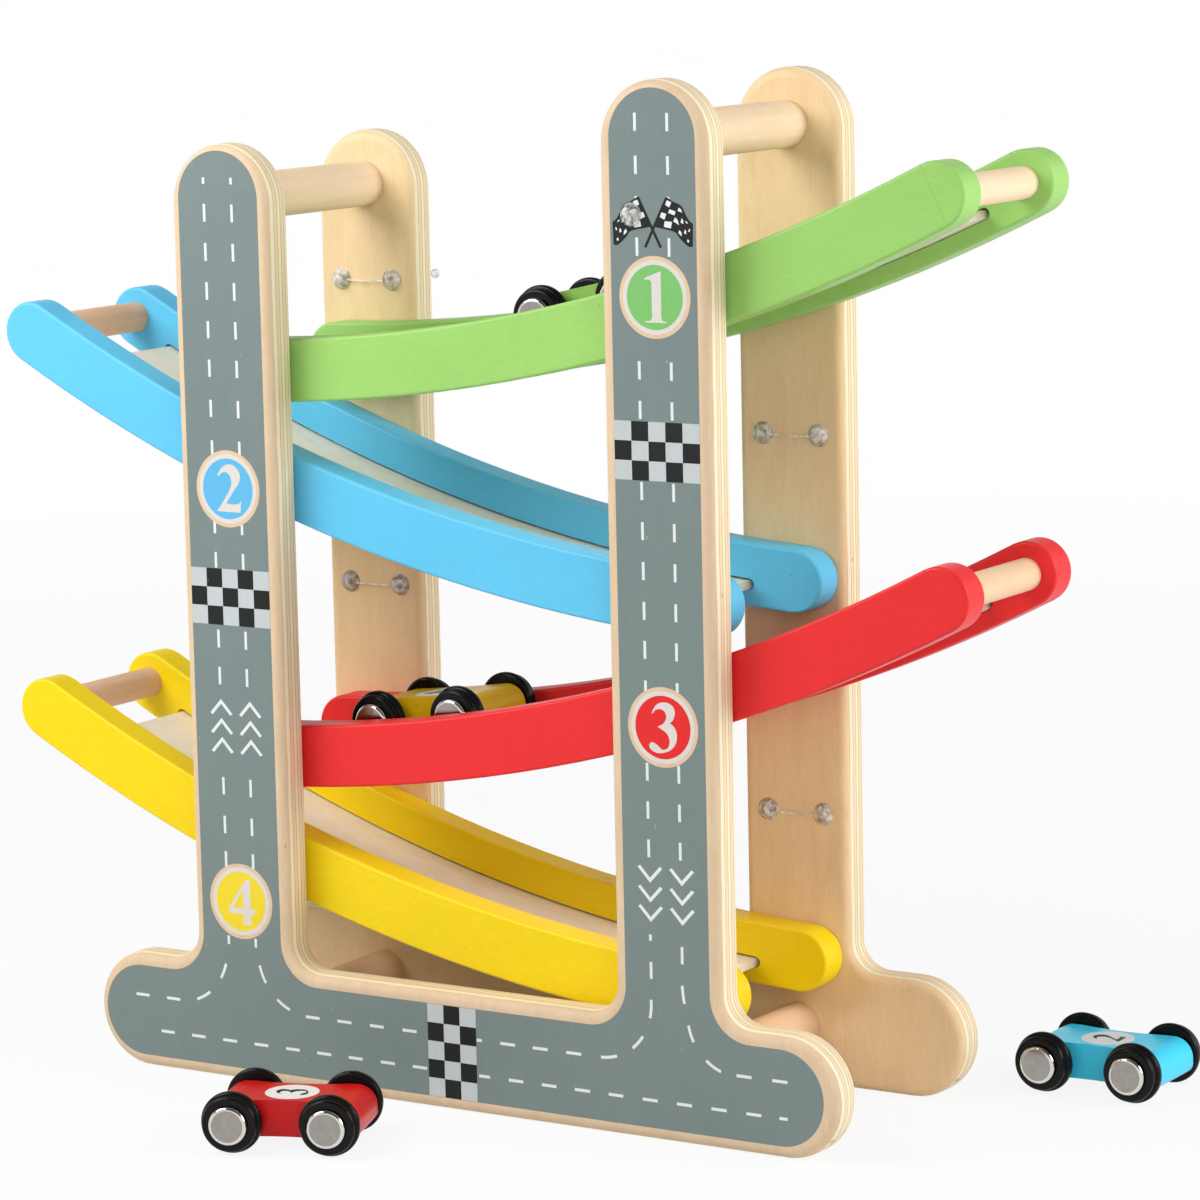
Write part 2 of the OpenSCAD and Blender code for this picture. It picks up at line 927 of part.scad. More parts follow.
module red_car_rear_wheels() {
    place_red_car()
        wheel_pair(-1);
}

module red_car_rear_caps() {
    place_red_car()
        cap_pair(-1);
}

module blue_car_body() {
    color(BLUE_PAINT)
        place_blue_car()
            car_body();
}

module blue_car_front_axle() {
    place_blue_car()
        axle(1);
}

module blue_car_front_wheels() {
    place_blue_car()
        wheel_pair(1);
}

module blue_car_front_caps() {
    place_blue_car()
        cap_pair(1);
}

module blue_car_rear_axle() {
    place_blue_car()
        axle(-1);
}

module blue_car_rear_wheels() {
    place_blue_car()
        wheel_pair(-1);
}

module blue_car_rear_caps() {
    place_blue_car()
        cap_pair(-1);
}

front_panel();
rear_panel();
top_dowel_left();
top_dowel_right();
base_dowel_left();
base_dowel_right();
green_front_rail();
green_rear_rail();
green_track();
green_stop_dowel();
blue_front_rail();
blue_rear_rail();
blue_track();
blue_stop_dowel();
red_front_rail();
red_rear_rail();
red_track();
red_stop_dowel();
yellow_front_rail();
yellow_rear_rail();
yellow_track();
yellow_stop_dowel();
front_ramp_pins();
rear_ramp_pins();
rear_ties();
front_tie_stud();
green_car_body();
green_car_front_axle();
green_car_front_wheels();
green_car_front_caps();
green_car_rear_axle();
green_car_rear_wheels();
green_car_rear_caps();
yellow_car_body();
yellow_car_front_axle();
yellow_car_front_wheels();
yellow_car_front_caps();
yellow_car_rear_axle();
yellow_car_rear_wheels();
yellow_car_rear_caps();
red_car_body();
red_car_front_axle();
red_car_front_wheels();
red_car_front_caps();
red_car_rear_axle();
red_car_rear_wheels();
red_car_rear_caps();
blue_car_body();
blue_car_front_axle();
blue_car_front_wheels();
blue_car_front_caps();
blue_car_rear_axle();
blue_car_rear_wheels();
blue_car_rear_caps();
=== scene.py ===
# Camera
# The toy is seen from the front right, a little above its ramps, through a long lens.
# The camera stands in the part's own frame, in metres. Its angles are in degrees.
import json
import math

import bmesh
import bpy
from mathutils import Matrix, Vector


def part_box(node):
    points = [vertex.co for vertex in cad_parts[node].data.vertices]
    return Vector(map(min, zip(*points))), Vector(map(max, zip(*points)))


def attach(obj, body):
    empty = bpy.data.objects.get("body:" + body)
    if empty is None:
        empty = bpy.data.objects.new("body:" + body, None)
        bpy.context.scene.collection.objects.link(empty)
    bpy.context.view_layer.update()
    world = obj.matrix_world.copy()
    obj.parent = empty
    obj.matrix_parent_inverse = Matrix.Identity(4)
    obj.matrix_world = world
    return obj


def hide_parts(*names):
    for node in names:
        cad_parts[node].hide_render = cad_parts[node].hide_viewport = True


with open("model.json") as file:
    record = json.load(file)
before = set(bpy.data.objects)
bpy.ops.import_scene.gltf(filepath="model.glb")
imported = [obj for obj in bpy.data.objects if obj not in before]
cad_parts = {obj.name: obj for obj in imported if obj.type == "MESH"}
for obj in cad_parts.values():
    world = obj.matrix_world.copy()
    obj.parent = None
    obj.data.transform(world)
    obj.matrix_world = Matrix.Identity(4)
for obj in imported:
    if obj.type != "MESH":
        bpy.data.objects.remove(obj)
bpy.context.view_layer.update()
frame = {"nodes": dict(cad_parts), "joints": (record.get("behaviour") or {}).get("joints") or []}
nodes = frame["nodes"]
scene = bpy.context.scene

camera_place = (0.69017, -1.02252, 0.33282)
yaw, dip, tilt = math.radians(32.1238), math.radians(8.8489), math.radians(-1.20816)
sensor_width, focal_length = 36.0, 137.79
nearest, farthest = 0.01, 100.0

look = Vector((-math.sin(yaw) * math.cos(dip), math.cos(yaw) * math.cos(dip), -math.sin(dip)))
level_right = Vector((math.cos(yaw), math.sin(yaw), 0.0))
level_up = level_right.cross(look)
view_right = level_right * math.cos(tilt) + level_up * math.sin(tilt)
view_up = level_up * math.cos(tilt) - level_right * math.sin(tilt)

lens = bpy.data.cameras.new("photo_camera")
lens.sensor_width = sensor_width
lens.lens = focal_length
lens.clip_start = nearest
lens.clip_end = farthest
camera = bpy.data.objects.new("photo_camera", lens)
view_axes = Matrix((view_right, view_up, -look)).transposed().to_4x4()
camera.matrix_world = Matrix.Translation(camera_place) @ view_axes
scene.collection.objects.link(camera)
scene.camera = camera
scene.view_settings.view_transform = "Standard"


# Floor and light
# A white studio floor, so wide that it fills the picture. A near soft lamp at the upper left
# leads, two farther ones fill in from the front and the right, and the ceiling is dim.
floor_drop, floor_reach = 0.0001, 40.0
floor_grey, pure_white = (0.80, 0.80, 0.80, 1), (1.0, 1.0, 1.0, 1)
floor_roughness = 0.9
# The floor looks whiter with its distance from the toy, in metres.
whitening, floor_whiteness = (0.25, 1.30), (0.89, 0.995)
# Matt faces get the ambient light. Mirrors see the surround fade to a dim ceiling as they look up.
ambient = 0.28
ceiling_rise, ceiling_light = (0.28, 0.52), (1.0, 0.10)


def start_finish(name):
    """A new finish: the material, its node tree and its surface shader."""
    material = bpy.data.materials.new(name)
    material.use_nodes = True
    tree = material.node_tree
    return material, tree, tree.nodes["Principled BSDF"]


def feed(tree, node, sockets):
    """Fills a node's sockets, each from a value or from another node."""
    for key, value in sockets.items():
        if isinstance(value, bpy.types.NodeSocket):
            tree.links.new(value, node.inputs[key])
        else:
            node.inputs[key].default_value = value


def put(tree, kind, sockets=None, **settings):
    """A new node with its settings made and its sockets filled."""
    node = tree.nodes.new(kind)
    for key, value in settings.items():
        setattr(node, key, value)
    feed(tree, node, sockets or {})
    return node


def maths(tree, operation, a, b=0.0):
    """The result of an operation on two values, or on the first alone where it needs only one."""
    return put(tree, "ShaderNodeMath", {0: a, 1: b}, operation=operation).outputs[0]


def ranged(tree, value, span, to):
    """The value's span, stretched to run between two results and held there beyond its ends."""
    sockets = {0: value, 1: span[0], 2: span[1], 3: to[0], 4: to[1]}
    return put(tree, "ShaderNodeMapRange", sockets).outputs[0]


def seen_rays(tree):
    """1 for rays from the camera, a mirror or glass, 0 for light that bounces between matt faces."""
    path = put(tree, "ShaderNodeLightPath")
    mirrored = maths(tree, "MAXIMUM", path.outputs["Is Glossy Ray"], path.outputs["Is Transmission Ray"])
    return maths(tree, "MAXIMUM", path.outputs["Is Camera Ray"], mirrored)


floor_shape = bmesh.new()
lowered = Matrix.Translation((0, 0, -floor_drop))
bmesh.ops.create_grid(floor_shape, x_segments=1, y_segments=1, size=floor_reach / 2, matrix=lowered)
floor_mesh = bpy.data.meshes.new("studio_floor")
floor_shape.to_mesh(floor_mesh)
floor_shape.free()
floor = bpy.data.objects.new("studio_floor", floor_mesh)
scene.collection.objects.link(floor)

floor_white, tree, shader = start_finish("floor_white")
feed(tree, shader, {"Base Color": floor_grey, "Roughness": floor_roughness, "Specular IOR Level": 0.0})
glow = put(tree, "ShaderNodeEmission", {"Color": pure_white, "Strength": 1.0})
spot = put(tree, "ShaderNodeTexCoord").outputs["Object"]
distance = put(tree, "ShaderNodeVectorMath", {0: spot}, operation="LENGTH").outputs["Value"]
whiteness = ranged(tree, distance, span=whitening, to=floor_whiteness)
share = maths(tree, "MULTIPLY", seen_rays(tree), whiteness)
mixed = put(tree, "ShaderNodeMixShader", {0: share, 1: shader.outputs[0], 2: glow.outputs[0]})
tree.links.new(mixed.outputs[0], tree.nodes["Material Output"].inputs["Surface"])
floor_mesh.materials.append(floor_white)

surround = bpy.data.worlds.new("studio_surround")
surround.use_nodes = True
tree = surround.node_tree
direction = put(tree, "ShaderNodeTexCoord").outputs["Generated"]
upward = put(tree, "ShaderNodeSeparateXYZ", {0: direction}).outputs["Z"]
ceiling = ranged(tree, upward, span=ceiling_rise, to=ceiling_light)
even = put(tree, "ShaderNodeBackground", {"Color": pure_white, "Strength": ambient})
seen = put(tree, "ShaderNodeBackground", {"Color": pure_white, "Strength": ceiling})
mixed = put(tree, "ShaderNodeMixShader", {0: seen_rays(tree), 1: even.outputs[0], 2: seen.outputs[0]})
tree.links.new(mixed.outputs[0], tree.nodes["World Output"].inputs["Surface"])
scene.world = surround


def soft_lamp(name, place, target, width, power, mirrored=True):
    """A round lamp, with its width in metres and its power in watts, turned to its target."""
    lamp = bpy.data.lights.new(name, "AREA")
    lamp.shape = "DISK"
    lamp.size = width
    lamp.energy = power
    holder = bpy.data.objects.new(name, lamp)
    aim = Vector(target) - Vector(place)
    holder.matrix_world = Matrix.Translation(place) @ aim.to_track_quat("-Z", "Y").to_matrix().to_4x4()
    holder.visible_glossy = mirrored
    scene.collection.objects.link(holder)


soft_lamp("key_lamp", place=(-0.34, -0.37, 0.57), target=(0.0, 0.02, 0.16), width=0.50, power=4.1)
soft_lamp(
    "front_lamp", place=(1.00, -0.90, 0.60), target=(0.0, 0.03, 0.14), width=1.00, power=5.0, mirrored=False
)
soft_lamp("right_lamp", place=(1.00, 0.30, 0.50), target=(0.05, 0.03, 0.14), width=0.60, power=7.1)


# Panels
# Two U-shaped panels of seven-ply birch, about 10 mm thick, routed to shape with rounded edges.
# The pale face veneer has short upright flecks, and the cut edge shows the plies as thin lines.
millimetre = 0.001
panel_low, panel_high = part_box("front_panel")
panel_thickness = (panel_high.y - panel_low.y) / millimetre
panel_pitch = (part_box("rear_panel")[0].y - panel_low.y) / millimetre
plies, ply_waver = 7, 0.35
# The face veneer begins this far from the panel's middle.
veneer_edge = (3.60, 3.72)
fleck_brown, fleck_cream = (0.66, 0.46, 0.25, 1), (0.90, 0.74, 0.50, 1)
core_tan, core_cream, core_brown = (0.84, 0.69, 0.45, 1), (0.91, 0.80, 0.57, 1), (0.72, 0.55, 0.33, 1)
glue_brown, glue_strength = (0.48, 0.33, 0.17, 1), 0.75
pin_knot_brown = (0.30, 0.17, 0.08, 1)
wood_shine = 0.30


def mix_colours(tree, factor, a, b):
    """The first colour where the factor is 0, the second where it is 1."""
    return put(tree, "ShaderNodeMix", {0: factor, 6: a, 7: b}, data_type="RGBA").outputs[2]


def in_millimetres(tree, centre=(0, 0, 0)):
    """The spot on a piece in millimetres, counted from this centre."""
    spot = put(tree, "ShaderNodeTexCoord").outputs["Object"]
    back = tuple(-part for part in centre)
    sockets = {"Vector": spot, "Location": back, "Scale": [1 / millimetre] * 3}
    return put(tree, "ShaderNodeMapping", sockets).outputs[0]


def streaks(tree, spot, stretch, detail, roughness, wander=0.0):
    """Noise drawn out along the wood: stretch holds the marks per millimetre along each axis."""
    drawn = put(tree, "ShaderNodeMapping", {"Vector": spot, "Scale": stretch}).outputs[0]
    noise = {"Scale": 1.0, "Detail": detail, "Roughness": roughness, "Distortion": wander}
    return put(tree, "ShaderNodeTexNoise", {"Vector": drawn, **noise}).outputs["Fac"]


def raise_grain(tree, shader, height, strength, distance=0.0002):
    """Lets a pattern stand out of the surface, by up to this distance in metres."""
    bump = put(tree, "ShaderNodeBump", {"Height": height, "Strength": strength, "Distance": distance})
    tree.links.new(bump.outputs[0], shader.inputs["Normal"])


def ply_core(tree, spot, depth, fleck):
    """The cut edge: plies of two tones in turn, parted by dark glue lines that waver a little."""
    wave = streaks(tree, spot, stretch=(0.045, 0.0, 0.045), detail=2.0, roughness=0.6)
    waver = ranged(tree, wave, span=(0, 1), to=(-ply_waver, ply_waver))
    inward = maths(tree, "ADD", maths(tree, "ADD", depth, waver), panel_thickness / 2)
    layer = maths(tree, "DIVIDE", inward, panel_thickness / plies)
    seam = ranged(tree, maths(tree, "PINGPONG", layer, 0.5), span=(0.03, 0.17), to=(1, 0))
    crossed = maths(tree, "MODULO", maths(tree, "FLOOR", layer), 2.0)
    core = mix_colours(tree, crossed, core_tan, core_cream)
    core = mix_colours(tree, ranged(tree, fleck, span=(0.45, 0.75), to=(0, 0.25)), core, core_brown)
    return mix_colours(tree, maths(tree, "MULTIPLY", seam, glue_strength), core, glue_brown)


def birch_ply(name, middle, deep, pale):
    """Birch plywood whose panel has its middle at this depth, with the deep and pale tones of its face."""
    material, tree, shader = start_finish(name)
    spot = in_millimetres(tree, (0, middle, 0))
    figure = streaks(tree, spot, stretch=(0.14, 0.14, 0.030), detail=4.0, roughness=0.55, wander=1.2)
    fleck = streaks(tree, spot, stretch=(1.35, 1.35, 0.24), detail=3.0, roughness=0.65)
    pores = streaks(tree, spot, stretch=(5.5, 5.5, 1.1), detail=2.0, roughness=0.5)
    veneer = mix_colours(tree, ranged(tree, figure, span=(0.32, 0.68), to=(0, 1)), deep, pale)
    veneer = mix_colours(tree, ranged(tree, fleck, span=(0.52, 0.75), to=(0, 0.30)), veneer, fleck_brown)
    veneer = mix_colours(tree, ranged(tree, fleck, span=(0.46, 0.28), to=(0, 0.22)), veneer, fleck_cream)

    depth = put(tree, "ShaderNodeSeparateXYZ", {0: spot}).outputs["Y"]
    outer = ranged(tree, maths(tree, "ABSOLUTE", depth), span=veneer_edge, to=(0, 1))
    wood = mix_colours(tree, outer, ply_core(tree, spot, depth, fleck), veneer)
    speck = streaks(tree, spot, stretch=(0.36, 0.36, 0.28), detail=1.0, roughness=0.3)
    wood = mix_colours(tree, ranged(tree, speck, span=(0.80, 0.82), to=(0, 0.6)), wood, pin_knot_brown)

    roughness = ranged(tree, fleck, span=(0.3, 0.7), to=(0.46, 0.62))
    feed(tree, shader, {"Base Color": wood, "Roughness": roughness, "Specular IOR Level": wood_shine})
    raise_grain(tree, shader, maths(tree, "ADD", fleck, pores), strength=0.06)
    return material


def dress(finish, *names):
    """A CAD node keeps its shape and takes this finish."""
    for name in names:
        for place in nodes[name].material_slots:
            place.material = finish


front_birch = birch_ply(
    "front_birch_ply", middle=0.0, deep=(0.690, 0.505, 0.325, 1), pale=(0.745, 0.565, 0.375, 1)
)
# The rear panel's birch is warmer and deeper in tone than the front's. This stands in for the warm, bounced
# shade between the panels and under the ramps: painted shade.
rear_birch_painted_warm_shade = birch_ply(
    "rear_birch_ply_painted_warm_shade", middle=panel_pitch, deep=(0.830, 0.595, 0.332, 1), pale=(0.880, 0.655, 0.384, 1)
)
dress(front_birch, "front_panel")
dress(rear_birch_painted_warm_shade, "rear_panel")


# Road print
# A screen-printed grey road covers the front panel up to a bare margin, with rounded ends.
# The ink is a thin matt skin: the birch's upright grain shows through as faint streaks.
# Each pass of ink has a level, and stands proud of the wood by its level times the step.
ink_step, ink_sink, road_level = 0.022, 0.05, 1
ink_shine = 0.25
pinhole_cream = (0.62, 0.60, 0.54, 1)
quarter_turn = math.pi / 2
on_front = (
    Matrix.Translation((0, panel_low.y, 0))
    @ Matrix.Rotation(quarter_turn, 4, "X")
    @ Matrix.Scale(millimetre, 4)
)


def two_grains(tree, fine, broad, fine_share):
    """A fine and a broad pattern, added up by their shares."""
    weighed = maths(tree, "MULTIPLY", fine, fine_share)
    return maths(tree, "ADD", weighed, maths(tree, "MULTIPLY", broad, 1 - fine_share))


def printing_ink(name, deep, pale, roughness=(0.41, 0.54)):
    """Ink between a deep and a pale tone, with a few pinholes and its roughness between two limits."""
    material, tree, shader = start_finish(name)
    spot = in_millimetres(tree)
    grain = streaks(tree, spot, stretch=(1.5, 1.5, 0.09), detail=4.0, roughness=0.65)
    mottle = streaks(tree, spot, stretch=(0.06, 0.06, 0.03), detail=3.0, roughness=0.5)
    tone = two_grains(tree, grain, mottle, fine_share=0.6)
    ink = mix_colours(tree, ranged(tree, tone, span=(0.30, 0.70), to=(0, 1)), deep, pale)
    pinhole = streaks(tree, spot, stretch=(0.9, 0.9, 0.45), detail=1.0, roughness=0.3)
    ink = mix_colours(tree, ranged(tree, pinhole, span=(0.80, 0.83), to=(0, 0.25)), ink, pinhole_cream)
    matt = ranged(tree, grain, span=(0.3, 0.7), to=roughness)
    feed(tree, shader, {"Base Color": ink, "Roughness": matt, "Specular IOR Level": ink_shine})
    raise_grain(tree, shader, grain, strength=0.06)
    return material


def finished_piece(shape, name, place, body, slot, *finishes):
    """The drawn shape, put in its place, becomes a piece that rides a body."""
    bmesh.ops.recalc_face_normals(shape, faces=shape.faces[:])
    bmesh.ops.transform(shape, matrix=place, verts=shape.verts[:])
    mesh = bpy.data.meshes.new(name)
    shape.to_mesh(mesh)
    shape.free()
    for finish in finishes:
        mesh.materials.append(finish)
    piece = bpy.data.objects.new(name, mesh)
    scene.collection.objects.link(piece)
    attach(piece, body)
    return piece


def thicken(shape, level):
    """A flat drawing becomes a skin of ink: sunk a little into the wood, proud by its level."""
    bmesh.ops.translate(shape, verts=shape.verts[:], vec=(0, 0, -ink_sink))
    grown = bmesh.ops.extrude_face_region(shape, geom=shape.faces[:])["geom"]
    risen = [part for part in grown if isinstance(part, bmesh.types.BMVert)]
    bmesh.ops.translate(shape, verts=risen, vec=(0, 0, ink_sink + level * ink_step))


def printed(shape, name, level, *inks):
    """A flat drawing, in millimetres across and up, becomes a print on the front panel."""
    thicken(shape, level)
    return finished_piece(shape, name, on_front, "stand", "birch_ply", *inks)


road_grey = printing_ink("road_grey_ink", deep=(0.175, 0.226, 0.220, 1), pale=(0.197, 0.249, 0.242, 1))

road_low, road_high = 3.5, 29.75
road_left_end, road_right_end = -119.1, 117.2
# Middle, half width and top of the road on the right and on the left tower.
tower_roads = ((70.0, 13.05, 280.9), (-70.15, 13.45, 262.9))
foot_round, corner_round, flat_top = 13.05, 12.0, 0.05
round_steps, same_spot = 18, 0.01

feet = [
    (road_left_end, road_low),
    (road_right_end, road_low),
    (road_right_end, road_high),
    (road_left_end, road_high),
]
outline, bends = feet[:3], []
for middle, half, top in tower_roads:
    bends += [(middle + half, road_high), (middle - half, road_high)]
    outline += [bends[-2], (middle + half, top), (middle - half, top), bends[-1]]
outline.append(feet[3])
road = bmesh.new()
road.faces.new([road.verts.new((x, z, 0)) for x, z in outline])


def round_off(corners, radius):
    """Rounds the road's outline at these corners."""
    found = [
        vert for vert in road.verts
        if any((vert.co.xy - Vector(corner)).length < same_spot for corner in corners)
    ]
    bmesh.ops.bevel(
        road, geom=found, offset=radius, offset_type="OFFSET", affect="VERTICES",
        segments=round_steps, profile=0.5, material=-1,
    )


round_off(bends, corner_round)
round_off(feet, foot_round)
for middle, half, top in tower_roads:
    round_off([(middle + half, top), (middle - half, top)], half - flat_top)
printed(road, "road_print", road_level, road_grey)


# Lane marks
# White dashes run up both towers in two lanes, along the base in two rows and round the bends,
# with three pairs of chevrons on each tower. They are one more pass of matt white ink.
road_white = printing_ink("road_white_ink", deep=(0.735, 0.765, 0.765, 1), pale=(0.80, 0.825, 0.825, 1))
stroke, bend_steps, marks_level = 0.84, 5, 2

# Dashes up the towers: the heights where they begin and end, for each lane's place across.
right_spans = (
    (269.7, 274.4), (258.5, 263.3), (248.0, 252.8), (237.3, 242.1), (205.0, 209.8), (194.6, 199.4),
    (173.2, 178.0), (162.6, 167.4), (152.0, 156.8), (141.4, 146.2), (131.0, 135.8), (120.4, 125.2),
    (98.3, 103.1), (88.0, 92.7), (77.6, 82.4),
)
left_spans = (
    (253.7, 255.5), (243.3, 248.2), (232.5, 237.4), (221.7, 226.6), (211.0, 215.8), (200.3, 205.1),
    (189.1, 193.9), (178.0, 182.6), (156.5, 161.0), (146.8, 151.2), (124.2, 129.3), (113.7, 118.7),
    (82.3, 87.3), (71.2, 76.2), (61.5, 66.0), (39.2, 41.7),
)
upright_dashes = {
    65.05: right_spans + ((54.9, 56.6), (44.5, 49.1)),
    74.8: right_spans + ((49.5, 54.2),),
    -74.8: left_spans,
    -65.4: left_spans,
}
# Dashes along the base: where they begin and end across, for each row's height.
level_dashes = {
    21.1: ((-108.5, -103.8), (-97.5, -92.8), (-48.8, -44.1), (-38.0, -33.2), (-27.0, -22.3), (-16.0, -11.3),
           (8.6, 10.3), (16.3, 21.1), (26.8, 31.7), (37.6, 42.4), (90.9, 95.5), (101.8, 106.4)),
    11.1: ((-99.9, -95.2), (-89.0, -84.2), (-78.0, -73.1), (-67.0, -62.2), (-56.0, -51.3), (-45.3, -40.5),
           (-34.5, -29.8), (-23.6, -18.9), (-12.9, -8.1), (9.1, 12.7), (18.8, 23.5), (29.5, 34.2),
           (40.1, 45.0), (50.9, 55.5), (61.6, 66.3), (72.3, 77.0), (83.0, 87.7), (93.7, 98.3),
           (103.8, 106.3)),
}
# Dashes round the bends: the centre and the radius of a bend, and the angles of its dashes in degrees.
bend_dashes = (
    ((48.4, 37.6), 16.5, ((4, -14), (-34, -51), (-71, -89))),
    ((109.8, 45.5), 35.2, ((183, 191),)),
    ((91.0, 35.6), 14.85, ((190, 208), (231, 251))),
    ((-92.6, 38.1), 17.2, ((-16, -32), (-52, -70))),
    ((-48.0, 37.9), 16.7, ((193, 211), (231, 248))),
)
# Chevrons: the place of each tip, and 1 where it points up or -1 where it points down.
chevron_arm, chevron_rise, chevron_stroke = 3.85, 4.1, 1.05
chevron_depth_share, heel_in_share, heel_drop_share = 1.30, 0.78, 0.36
chevron_tips = [(x, z, -1) for x in (65.3, 75.1) for z in (70.7, 65.3, 60.0)]
chevron_tips += [(x, z, 1) for x in (-74.7, -64.7) for z in (109.6, 104.2, 98.8)]


def bar(shape, x_range, z_range, columns=1, rows=1):
    """A flat bar between these limits, in one piece or cut into columns and rows."""
    wide, tall = x_range[1] - x_range[0], z_range[1] - z_range[0]
    centre = Matrix.Translation((sum(x_range) / 2, sum(z_range) / 2, 0))
    place = centre @ Matrix.Diagonal((wide, tall, 1, 1))
    bmesh.ops.create_grid(shape, x_segments=columns, y_segments=rows, size=0.5, matrix=place)


marks = bmesh.new()
for x, spans in upright_dashes.items():
    for span in spans:
        bar(marks, (x - stroke / 2, x + stroke / 2), span)
for z, spans in level_dashes.items():
    for span in spans:
        bar(marks, span, (z - stroke / 2, z + stroke / 2))
for (x, z), radius, arcs in bend_dashes:
    for start, stop in arcs:
        turn = Vector((math.cos(math.radians(start)), math.sin(math.radians(start)), 0))
        near = marks.verts.new(Vector((x, z, 0)) + turn * (radius - stroke / 2))
        far = marks.verts.new(Vector((x, z, 0)) + turn * (radius + stroke / 2))
        across = marks.edges.new((near, far))
        bmesh.ops.spin(
            marks, geom=[near, far, across], cent=(x, z, 0), axis=(0, 0, 1),
            angle=math.radians(stop - start), steps=bend_steps,
        )
for x, z, way in chevron_tips:
    drop = -way * chevron_rise
    thick = way * chevron_stroke * chevron_depth_share
    heel_in = chevron_arm - chevron_stroke * heel_in_share
    heel_drop = drop - thick * heel_drop_share
    right_half = ((0, 0), (chevron_arm, drop), (heel_in, heel_drop))
    left_half = ((0, -thick), (-heel_in, heel_drop), (-chevron_arm, drop))
    marks.faces.new([marks.verts.new((x + a, z + b, 0)) for a, b in right_half + left_half])
printed(marks, "lane_marks", marks_level, road_white)


# Chequered strips
# A start line of black and white squares crosses each tower and the middle of the base,
# printed edge to edge over the road in two matt inks.
chequer_level = 3
print_black = printing_ink(
    "print_black_ink", deep=(0.004, 0.005, 0.005, 1), pale=(0.011, 0.012, 0.012, 1), roughness=(0.37, 0.50)
)
chequer_white = printing_ink(
    "chequer_white_ink", deep=(0.500, 0.540, 0.548, 1), pale=(0.560, 0.600, 0.606, 1)
)


def chequer(name, x_range, z_range, columns, rows):
    """A chequered strip between these limits, with a white square at its upper left."""
    strip = bmesh.new()
    bar(strip, x_range, z_range, columns, rows)
    (left, right), (low, high) = x_range, z_range
    for face in strip.faces:
        middle = face.calc_center_median()
        column = math.floor((middle.x - left) / (right - left) * columns)
        row = math.floor((high - middle.y) / (high - low) * rows)
        face.material_index = (column + row) % 2
    printed(strip, name, chequer_level, chequer_white, print_black)


chequer("right_chequer", x_range=(57.0, 83.05), z_range=(178.4, 194.0), columns=5, rows=3)
chequer("left_chequer", x_range=(-83.55, -56.75), z_range=(130.7, 146.6), columns=5, rows=3)
chequer("base_chequer", x_range=(-7.5, 8.4), z_range=(3.6, 29.65), columns=3, rows=5)


# Number roundels
# Each ramp has its number on the tower beside it: a disc in the ramp's colour with a creamy
# serif numeral, a creamy ring round it, and a bare ring of birch left free of road ink.
roundel_bare, roundel_white, roundel_disc = 10.8, 9.75, 8.5
bare_level, white_level, disc_level, numeral_level = 2.5, 4, 5, 6
disc_sides, curve_steps, merge_gap = 96, 6, 0.0005
cream_white = printing_ink("cream_white_ink", deep=(0.680, 0.640, 0.590, 1), pale=(0.735, 0.695, 0.645, 1))
# Place, colour, deep tone and pale tone of each number's roundel.
roundels = {
    1: ((70.2, 226.6), "green", (0.183, 0.495, 0.138, 1), (0.213, 0.528, 0.158, 1)),
    2: ((-69.8, 169.2), "blue", (0.104, 0.440, 0.730, 1), (0.127, 0.480, 0.774, 1)),
    3: ((70.2, 113.0), "red", (0.715, 0.019, 0.018, 1), (0.780, 0.025, 0.024, 1)),
    4: ((-70.0, 52.0), "yellow", (0.830, 0.630, 0.022, 1), (0.890, 0.700, 0.034, 1)),
}
